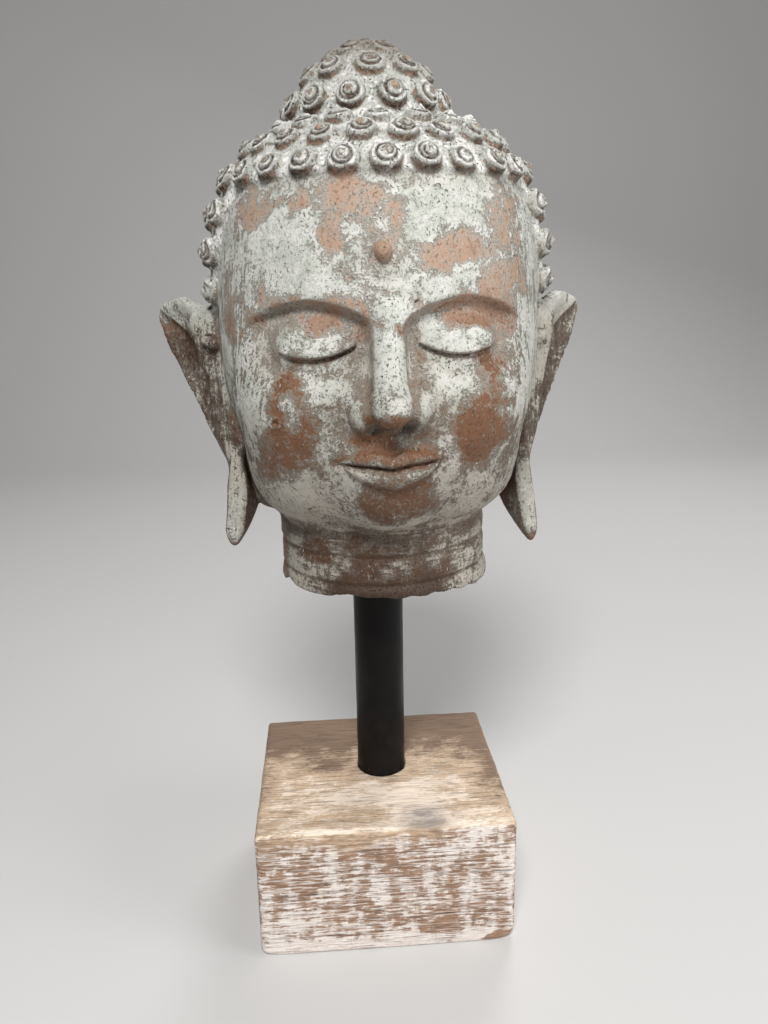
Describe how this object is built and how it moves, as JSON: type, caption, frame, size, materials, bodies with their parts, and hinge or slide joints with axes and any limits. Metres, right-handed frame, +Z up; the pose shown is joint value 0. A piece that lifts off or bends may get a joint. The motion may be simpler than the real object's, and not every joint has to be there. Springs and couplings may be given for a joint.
{
  "type": "buddha head sculpture",
  "caption": "Cast bronze buddha head with snail-shell curls, domed topknot and long ears, raised on a black steel post over a square-edged wooden block.",
  "frame": {"origin": "middle of the wooden block's underside, where the object stands", "axes": "+Z up, -Y the way the face looks, +X to the object's own left"},
  "size_m": [0.1654, 0.1467, 0.3369],
  "materials": {
    "patinated_bronze": "matt pale grey-green patina worn through to red-brown copper colour, dark in the recesses",
    "black_paint": "satin black paint on round steel bar",
    "whitewashed_wood": "rough sawn wood, limed white and worn back along the grain and the edges"
  },
  "bodies": {
    "root": {"bronze_head": "patinated_bronze", "post": "black_paint", "wood_base": "whitewashed_wood"}
  },
  "joints": []
}
